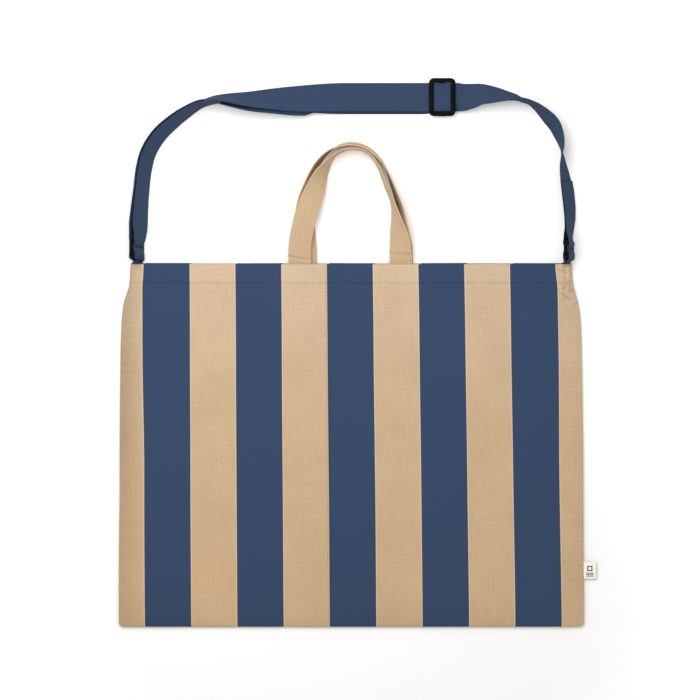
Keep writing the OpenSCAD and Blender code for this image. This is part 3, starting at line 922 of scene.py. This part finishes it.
def handle_creases(step, place):
    """Folds pressed across the handles just above the mouth, where they bend over it."""
    x, y = place.x, place.y
    if y > TOP + 40 * MM or y < TOP:
        return 0.0
    lift = 0.25 * MM * noise.noise((x * 60 + step, y * 120, 3.0)) * climb(y - TOP, 0, 4)
    if x < 0:
        line = TOP + (8.0 + 3.0 * step) * MM
        lift += 1.2 * MM * bell(y - line, 1.6, 2.0) - 1.3 * MM * bell(y - line, -1.4, 1.5)
        lift += 0.6 * MM * bell(y - TOP, 3.5, 2.0)
    else:
        line = TOP + (12.5 - 1.0 * step) * MM
        lift += 0.9 * MM * bell(y - line, 2.4, 2.6) - 0.9 * MM * bell(y - line, -0.6, 1.2)
        lift += 0.5 * MM * bell(y - TOP, 6, 3.0)
    return lift


def finer(points, low, high, step):
    """The points with more of them between two heights, at most a step apart."""
    out = [points[0]]
    for p in points[1:]:
        last = out[-1]
        near = low < (p[1] + last[1]) / 2 < high
        count = max(1, ceil(abs(p[1] - last[1]) / step)) if near else 1
        out += [tuple(a + (b - a) * k / count for a, b in zip(last, p)) for k in range(1, count + 1)]
    return out


def handle(name, points, nodes, material, seed, relief=None):
    """A handle with both ends running down behind the hem."""
    first, last = points[0], points[-1]
    low, top = HEM_Y / MM + 0.5, TOP / MM
    heights = (low, low + 7, low + 14, low + 21, top)
    start = [(first[0], y, first[2], 0) for y in heights]
    end = [(last[0], y, last[2], 0) for y in reversed(heights)]
    stations = directions(finer(start + smooth(points, 9) + end, top, top + 30, 0.8))
    piece = tape(name, stations, HANDLE_W, HANDLE_T, material, 0.7 * MM, seed, relief)
    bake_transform(piece)
    dress(piece, "handle_webbing", *nodes)
    lay_tape(stations)


# ---- rings, tabs, strap and slider


def bar_way(ring):
    return Vector((cos(ring["tilt"]), 0, -sin(ring["tilt"])))


def ring_way(ring):
    return Vector((sin(ring["tilt"]), 0, cos(ring["tilt"])))


def rounded_loop(length, width, radius, steps=8):
    """Points and outward ways round a rounded rectangle."""
    out = []
    for quarter in range(4):
        cx = (length / 2 - radius) * (1 if quarter in (0, 3) else -1)
        cy = (width / 2 - radius) * (1 if quarter in (0, 1) else -1)
        for k in range(steps + 1):
            angle = pi / 2 * (quarter + k / steps)
            way = (cos(angle), sin(angle))
            out.append(((cx + radius * way[0], cy + radius * way[1]), way))
    return out


BAR_CORNERS = 16


def swept_ring(name, path, place, half_w, half_h, material, power=2.4, end_w=None):
    """A bar of rounded section round a flat loop, with end_w as its half width along the ends. place turns
    (x, y, z) of the loop into a point."""
    sections = []
    for (x, y), (nx, ny) in path:
        half = half_w + ((end_w or half_w) - half_w) * nx * nx
        section = []
        for k in range(BAR_CORNERS):
            angle = 2 * pi * k / BAR_CORNERS
            c, s = cos(angle), sin(angle)
            out = copysign(abs(c) ** (2 / power), c) * half
            up = copysign(abs(s) ** (2 / power), s) * half_h
            section.append(place(x + nx * out, y + ny * out, up))
        sections.append(section)
    return tube_loop(name, sections, [material], True)


def make_ring(name, material):
    ring = RINGS[name]
    along, face = bar_way(ring), ring_way(ring)

    def place(x, y, z):
        return ring["centre"] + along * x + TO_MOUTH * y + face * z

    path = rounded_loop(RING_L - RING_BAR, RING_PITCH, 2.4 * MM)
    half = RING_BAR / 2
    piece = swept_ring(f"ring_{name}_bar", path, place, half, half, material, end_w=3.2 * MM)
    fasten(piece, "ring_" + name, "black_plastic", "ring_" + name)


def strap_bend(ring, side):
    """Stations half round a ring's outer bar, from one side of the ring to the other. The ring's slack lets
    the strap hang off its bar."""
    bar = ring["centre"] + TO_MOUTH * (RING_PITCH / 2)
    wide, start = -bar_way(ring), side * ring_way(ring)
    deep = BEND_R + ring["strap_slack"]
    steps = 16
    out = []
    for i in range(steps + 1):
        angle = pi * i / steps
        place = bar + BEND_R * cos(angle) * start - deep * sin(angle) * TO_MOUTH
        facing = cos(angle) * deep * start - sin(angle) * BEND_R * TO_MOUTH
        out.append((place, wide, facing.normalized()))
    return out


RUN_Y = TOP / MM + 221.5
RUN_Z = 7.6
RUN_START, RUN_END = -14, 142.6
UNDER_Z = 0.9
TAKE_UP_START, TAKE_UP_END = -62, 72
UNDER_GAP = RUN_Z - UNDER_Z


def ring_point(name):
    """Where the outer layer leaves a ring, in millimetres."""
    ring = RINGS[name]
    bar = ring["centre"] + TO_MOUTH * (RING_PITCH / 2) - BEND_R * ring_way(ring)
    return tuple(bar / MM)


# each point: x, y, z and roll, then the inner layer's offset the way the tape faces, its offset inwards and
# the lag of its roll
LEFT_STRETCH = [
    (*ring_point("left"), 76, 2 * BEND_R / MM, 0, 0),
    (-289, 278, 22.8, 75, 8.4, 0, 4), (-287, 293, 20.6, 67.5, 7, 0, 4), (-283.6, 316, 19, 65, 4.4, 0, 0),
    (-281, 340, 18.8, 67, 3.6, 0, 0), (-277.6, 368, 18.8, 67, 3.6, 0, 0), (-271, 392, 18.8, 68, 3.6, 0, 0),
    (-256.5, 414.5, 18.9, 69, 3.6, 0, 0), (-237, 433.5, 19.4, 75, 3.7, 0.3, 3),
    (-219, 447.6, 19.8, 83, 3.9, 0.5, 7), (-202, 457.8, 20.2, 92, 4.2, 0.9, 10),
    (-185, 461.8, 20.4, 102, 4.4, 2.2, 12), (-166, 462, 20, 112, 4.2, 3.4, 9),
    (-135, 460.4, 18.6, 127, 4, 3.4, 4), (-104, 460.8, 16, 143, 4, 2.6, 0),
    (-72, 461.4, 12.6, 159, 4.8, 3.2, 0), (-42, 463, 9.4, 171, 5.8, 3, 0),
    (RUN_START, RUN_Y, RUN_Z, 180, UNDER_GAP, 3, 0)]
FLAT_RUN = [
    (RUN_START + (RUN_END - RUN_START) * i / 16, RUN_Y, RUN_Z, 180, UNDER_GAP, 3, 0) for i in range(1, 16)]
# the strap is single on the right, so there is no inner layer
RIGHT_ROUTE = [
    (RUN_END, RUN_Y, RUN_Z, 178), (149, 463.9, 8.0, 168), (160, 465.2, 9.6, 155), (174, 467.2, 12.8, 142),
    (189, 466.2, 15.8, 131), (204, 465.2, 18.4, 117), (220, 464.5, 19.8, 101.5), (229.5, 461, 20, 93.5),
    (237, 457, 20, 88), (244.5, 452, 19.6, 82.5), (254, 443.8, 19.2, 75.5), (263.5, 434, 18.8, 70),
    (271.2, 424, 18.8, 71), (277.4, 409, 19, 78), (280.6, 396, 19.4, 88), (281.4, 384, 19.4, 100),
    (282, 372, 19.2, 108), (283.8, 360, 19, 113.5), (286.2, 344, 18.8, 117), (288.4, 326, 18.8, 117),
    (289.6, 308, 19.4, 115), (288.6, 291, 21.4, 111), (286.2, 279, 23.2, 107), (*ring_point("right"), 105.5)]
RIGHT_STRETCH = [point + (0, 0, 0) for point in RIGHT_ROUTE]


def strap_relief(step, place):
    """The strap cups across its width where it turns over."""
    at_bend = bell((place - Vector((0.2215, 0.4630, 0.02))).length, 0, 23)
    at_leg = bell((place - Vector((0.2808, 0.393, 0.019))).length, 0, 20)
    return (5.8 * MM * at_bend + 2.0 * MM * at_leg) * (step * step - 1)


def lower_layer(points):
    """The inner layer: the outer one's points moved along the way they face, and inwards."""
    out = []
    lagging = directions([(*p[:3], p[3] - p[6]) for p in points])
    for p, (place, across, facing), lag in zip(points, directions(points), lagging):
        outward = UP.cross(across.cross(facing)).normalized()
        out.append((place + p[4] * MM * facing - p[5] * MM * outward, lag[1], lag[2]))
    return out


def turned(stations):
    return [(place, across, -facing) for place, across, facing in stations]


# how far back along the strap each point of its folded-back end lies, in stations, and how far inside it
FOLDED_BACK = ((4, 5.6), (8, 3.4), (13, 2.0), (19, 1.8), (25, 1.8), (32, 1.8), (38, 1.8))


def make_strap(material):
    """The whole strap apart from its lower end. Gives its inner layer and its folded-back end."""
    points = smooth(LEFT_STRETCH, 7) + FLAT_RUN + smooth(RIGHT_STRETCH, 7)
    outer = directions(points)
    inner = [s for s in lower_layer(points) if s[0].x < TAKE_UP_START * MM]
    folded_back = []
    for back, inside in FOLDED_BACK:
        place, across, facing = outer[-1 - back]
        folded_back.append((place - inside * MM * facing, across, facing))
    left_bend, right_bend = strap_bend(RINGS["left"], 1), strap_bend(RINGS["right"], -1)
    stations = inner[:3:-1] + left_bend + turned(outer[4:-4]) + right_bend + folded_back
    strap = tape("strap_webbing", stations, STRAP_W, STRAP_T, material, 0.25 * MM, 2.0, strap_relief)
    fasten(strap, "strap", "strap_webbing", "shoulder_strap")
    lay_tape(stations)
    return inner, folded_back


def along_table(start, grip_x):
    """Stations from the strap's inner layer along the table, until they lie below the slider's grip bar."""
    first, across, _ = start
    flat = Vector((0, copysign(1, across.y), 0))
    reach = grip_x / MM
    out = []
    for x in (-52, -42, -30, -14, 8, 30, 52, 72, 88, 100, 108, reach - 5, reach):
        share = ease((x - first.x / MM) / 60)
        y = RUN_Y - 3 + 2.4 * ease((x - 96) / 20)
        z = first.z / MM * (1 - share) + UNDER_Z * share
        wide = (across * (1 - share) + flat * share).normalized()
        facing = wide.cross(Vector((1, 0, 0))).normalized()
        if facing.z < 0:
            facing = -facing
        out.append((Vector((x, y, z)) * MM, wide, facing))
    return out


def make_strap_lower_end(inner, material, thread):
    """The end of the webbing: along the table, round the slider's middle bar and back, where it is sewn."""
    radius = grip_z() - UNDER_Z * MM
    stations = [inner[-1]] + along_table(inner[-1], slider_x())
    below, wide, _ = stations[-1]
    centre = Vector((slider_x(), below.y, grip_z()))
    steps = 14
    for i in range(1, steps + 1):
        angle = pi * i / steps
        way = Vector((sin(angle), 0, -cos(angle)))
        stations.append((centre + radius * way, wide, -way))
    for x in (112, 104, 96, 88, 80, 75):
        stations.append((Vector((x * MM, centre.y, centre.z + radius)), wide, -UP))
    piece = tape("strap_lower_end", stations, STRAP_W, STRAP_T, material, 0.1 * MM, 5.0)
    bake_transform(piece)
    dress(piece, "strap_webbing", "strap_take_up", "slider_webbing_loop")
    lay_tape(stations)

    rows = box_rows(84 * MM, centre.y, 10 * MM, 28 * MM)
    on_sewn_end = flat_surface(centre.z + radius + STRAP_T / 2)
    sewn = stitches("slider_loop_stitches", rows, on_sewn_end, thread, 0.34 * MM)
    fasten(sewn, "slider", "strap_thread", "slider_loop_stitching")


def make_strap_end_stitches(folded_back, thread):
    """The box of stitches that holds the folded-back end at the right ring."""
    place, across, facing = folded_back[-2]
    along = (folded_back[-1][0] - place).normalized()

    def surface(s, t):
        return place + across * s + along * t - facing * (STRAP_T / 2 + 0.05 * MM), -facing

    sewn = stitches("strap_end_stitches", box_rows(0, 0, 26 * MM, 12 * MM), surface, thread, 0.4 * MM)
    fasten(sewn, "strap", "strap_thread", "strap_end_stitching")


SLIDER_BAR = 5 * MM
GRIP_R = 1.5 * MM           # radius of the slider's middle bar, and half the depth of its frame


def slider_x():
    low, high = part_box("slider_frame")
    return (low[0] + high[0]) / 2


def grip_z():
    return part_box("slider_frame")[0][2] + GRIP_R


def make_slider(material):
    low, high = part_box("slider_frame")
    centre = Vector(((low[0] + high[0]) / 2, (low[1] + high[1]) / 2, high[2] - GRIP_R))
    length, width = high[0] - low[0], high[1] - low[1]
    pieces = [slider_loop(centre, length, width, material), grip_bar(centre, width, material)]
    for name, side in (("near", -1), ("far", 1)):
        pieces.append(slider_lug(name, centre, side * (width - SLIDER_BAR) / 2, material))
    for piece in pieces:
        fasten(piece, "slider", "black_plastic", "slider_frame")


def slider_loop(centre, length, width, material):
    def place(x, y, z):
        return centre + Vector((x, y, z))

    path = rounded_loop(length - SLIDER_BAR, width - SLIDER_BAR - 1.0 * MM, 3.4 * MM)
    return swept_ring("slider_loop", path, place, SLIDER_BAR / 2 + 0.7 * MM, GRIP_R, material, power=3.0)


def grip_bar(centre, width, material):
    """The round bar in the middle, which lies below the frame."""
    reach = width / 2 - 1.2 * MM
    drop = grip_z() - centre.z
    steps = 12
    angles = [2 * pi * k / BAR_CORNERS for k in range(BAR_CORNERS)]
    sections = []
    for i in range(steps + 1):
        middle = centre + Vector((0, -reach + 2 * reach * i / steps, drop))
        sections.append([middle + Vector((cos(a), 0, sin(a))) * GRIP_R for a in angles])
    return tube_loop("slider_grip_bar", sections, [material], False)


def slider_lug(name, centre, y, material):
    """A cheek that joins the frame to the grip bar and widens upwards."""
    low, high = grip_z() - 1.4 * MM, centre.z - 0.5 * MM
    steps = 5
    sections = []
    for i in range(steps + 1):
        z = low + (high - low) * i / steps
        half = (5.2 + 1.8 * i / steps) * MM
        loop = rounded_loop(2 * half, SLIDER_BAR - 0.4 * MM, 1.2 * MM, 4)
        sections.append([Vector((centre.x + p[0], centre.y + y + p[1], z)) for p, _ in loop])
    return tube_loop("slider_lug_" + name, sections, [material], False)


TAB_ACROSS = [k / 8 - 1 for k in range(17)]
TAB_X = 286.2 * MM          # the fold's place inside the corner, and the length of its arms
TAB_ARM = 14.5 * MM


def folded_section(side, x, radius, arm, z):
    """Middle points across webbing that is folded lengthwise, open towards the bag's middle."""
    out = []
    turn = pi * radius / 2
    for s in TAB_ACROSS:
        away = abs(s) * (turn + arm)
        if away < turn:
            angle = copysign(away / radius, s)
            out.append(Vector((side * (x + radius * cos(angle)), 0, z - radius * sin(angle))))
        else:
            out.append(Vector((side * (x - (away - turn)), 0, z - copysign(radius, s))))
    return out


def tab_row(name, y, layer, offset):
    """Middle points across one layer of a tab at height y: straight at the ring, folded in the bag's corner."""
    ring = RINGS[name]
    at_ring = climb(y - TOP, -1.5, 8)
    inside = climb(TOP - y, -1, 4)
    x = ring["mouth_x"] * (1 - inside) + TAB_X * inside
    radius = 2.3 * MM - 1.5 * MM * layer
    arm = ring["mouth_arm"] * (1 - inside) + TAB_ARM * inside
    folded = folded_section(ring["side"], x - 0.4 * MM * layer, radius, arm, 5.1 * MM)
    face = ring_way(ring)
    centre = Vector((ring["centre"].x, 0, ring["centre"].z)) + face * (BEND_R * offset)
    row = []
    for s, fold in zip(TAB_ACROSS, folded):
        straight = centre + bar_way(ring) * (s * STRAP_W / 2)
        place = fold.lerp(straight, at_ring)
        row.append(Vector((place.x, y, place.z)))
    return row


def make_tab(name, material):
    """A loop of webbing round a ring's inner bar. Both of its layers run down into the bag's top corner."""
    ring = RINGS[name]
    bar_y = ring["centre"].y - RING_PITCH / 2
    levels = [HEM_Y + 2 * MM, HEM_Y + 12 * MM, HEM_Y + 20 * MM]
    levels += [TOP - 4 * MM + 0.95 * MM * k for k in range(14)]
    grid = [tab_row(name, y, 0, 1.0) for y in levels]
    steps = 14
    reach = BEND_R + ring["tab_slack"]
    for i in range(1, steps):
        angle = pi * i / steps
        raised = TO_MOUTH * (reach * sin(angle))
        grid.append([p + raised for p in tab_row(name, bar_y, 0, cos(angle))])
    grid += [tab_row(name, y, 1, -1.0) for y in reversed(levels)]
    uv_grid = []
    length = 0.0
    middle = len(TAB_ACROSS) // 2
    for i, row in enumerate(grid):
        if i:
            length += (row[middle] - grid[i - 1][middle]).length
        uv_grid.append([(s * STRAP_W / 2, length) for s in TAB_ACROSS])
    piece = slab("tab_" + name, grid, uv_grid, STRAP_T, [material])
    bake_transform(piece)
    dress(piece, "strap_webbing", f"tab_{name}_tail", f"tab_{name}_loop", f"tab_{name}_neck")


def make_tab_stitching(thread):
    """A few firm stitches through the side seams, at the edge of each corner."""
    rows = []
    for x in (-281 * MM, 281 * MM):
        rows += box_rows(x, HEM_Y + 9 * MM, 9 * MM, 9 * MM)
    inside_corner = flat_surface(BACK_Z + 1.2 * MM + CLOTH)
    sewn = stitches("tab_stitches", rows, inside_corner, thread, 0.34 * MM)
    fasten(sewn, "bag", "strap_thread", "tab_stitching")


# ---- label and floor


def make_label(material):
    low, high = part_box("side_label")
    root_low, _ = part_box("side_label_root")
    start = root_low[0] - 2 * MM
    reach = high[0] - start
    middle_z = (low[2] + high[2]) / 2
    columns, rows = 20, 14
    grid, uv_grid = [], []
    for i in range(columns + 1):
        share = i / columns
        line, uv_line = [], []
        for j in range(rows + 1):
            y = low[1] + (high[1] - low[1]) * j / rows
            lift = 0.9 * MM * sin(share * pi * 0.9) + 0.5 * MM * share * (j / rows - 0.4)
            line.append(Vector((start + reach * share, y, middle_z + lift * share)))
            uv_line.append((reach * share - 2.4 * MM, y - low[1]))
        grid.append(line)
        uv_grid.append(uv_line)
    piece = slab("side_label_tape", grid, uv_grid, 0.7 * MM, [material])
    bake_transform(piece)
    dress(piece, "label_tape", "side_label", "side_label_root")


def make_floor():
    size = 6.0
    points = [(-size, -size, 0), (size, -size, 0), (size, size, 0), (-size, size, 0)]
    floor = make_object("floor", points, [(0, 1, 2, 3)], [floor_material()])
    floor.location.z = -0.1 * MM


# ---- everything

make_camera()
make_studio()
make_floor()

plain = canvas_material("sand_canvas")
printed = canvas_material("printed_canvas", printed=True)
handle_tape = handle_material()
navy_tape = webbing_material()
sand_thread = thread_material("sand_thread", (0.50, 0.36, 0.22))
navy_thread = thread_material("navy_thread", (0.032, 0.052, 0.10))
black = plastic_material()

back_panel([printed, plain])
front_panel("front_panel_left", -1, [printed, plain])
front_panel("front_panel_right", 1, [printed, plain])
make_seams(plain)
make_front_stitching(printed)
make_handle_end_stitching(printed, sand_thread)
make_back_hem_stitching(sand_thread)
handle("front_handle_tape", FRONT_HANDLE,
       ("front_handle", "front_handle_ends"), handle_tape, 1.0, handle_creases)
handle("back_handle_tape", BACK_HANDLE,
       ("back_handle", "back_handle_ends"), handle_tape, 8.0)
for ring_name in RINGS:
    make_ring(ring_name, black)
    make_tab(ring_name, navy_tape)
make_tab_stitching(navy_thread)
inner_layer, folded_end = make_strap(navy_tape)
make_strap_lower_end(inner_layer, navy_tape, navy_thread)
make_strap_end_stitches(folded_end, navy_thread)
make_slider(black)
make_label(label_material())
